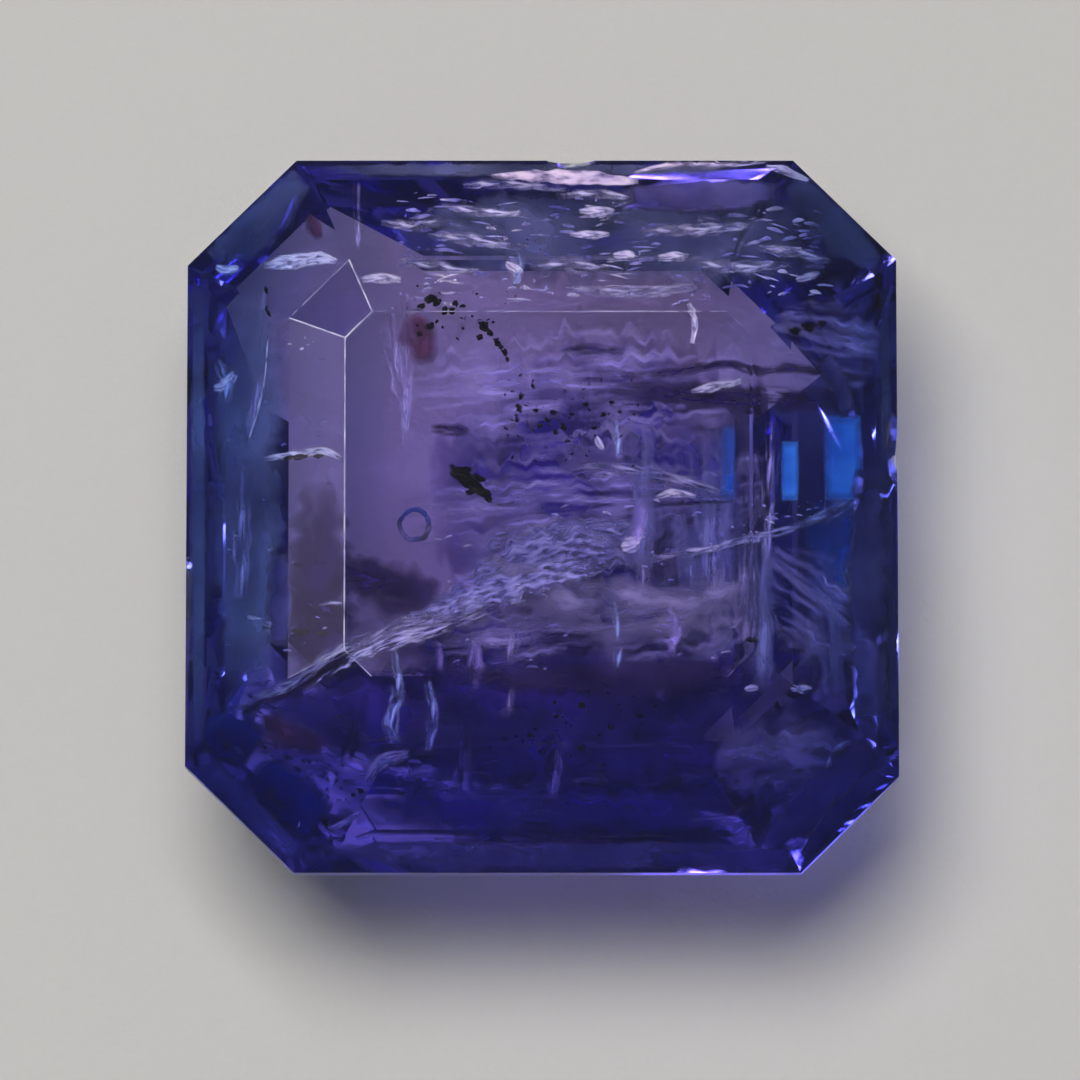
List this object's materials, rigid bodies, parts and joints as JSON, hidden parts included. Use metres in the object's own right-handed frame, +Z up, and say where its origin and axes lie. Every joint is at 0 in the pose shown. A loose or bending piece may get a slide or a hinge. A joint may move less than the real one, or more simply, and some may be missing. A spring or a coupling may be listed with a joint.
{
  "type": "step-cut tanzanite gemstone",
  "caption": "Clear violet-blue tanzanite cut as a square step cut with cut corners, included and lightly worn; stands table up on its small flat culet.",
  "frame": {"origin": "middle of the stone's outline, on the surface that its culet rests on", "axes": "+Z up, from the culet to the table; +X to the stone's right and +Y to its back, along the sides of its outline"},
  "size_m": [0.01, 0.0102, 0.0045],
  "materials": {
    "tanzanite_crystal": "polished transparent crystal, with worn facet edges, healed cracks and small dark crystals inside"
  },
  "bodies": {
    "root": {"tanzanite": "tanzanite_crystal"}
  },
  "joints": []
}
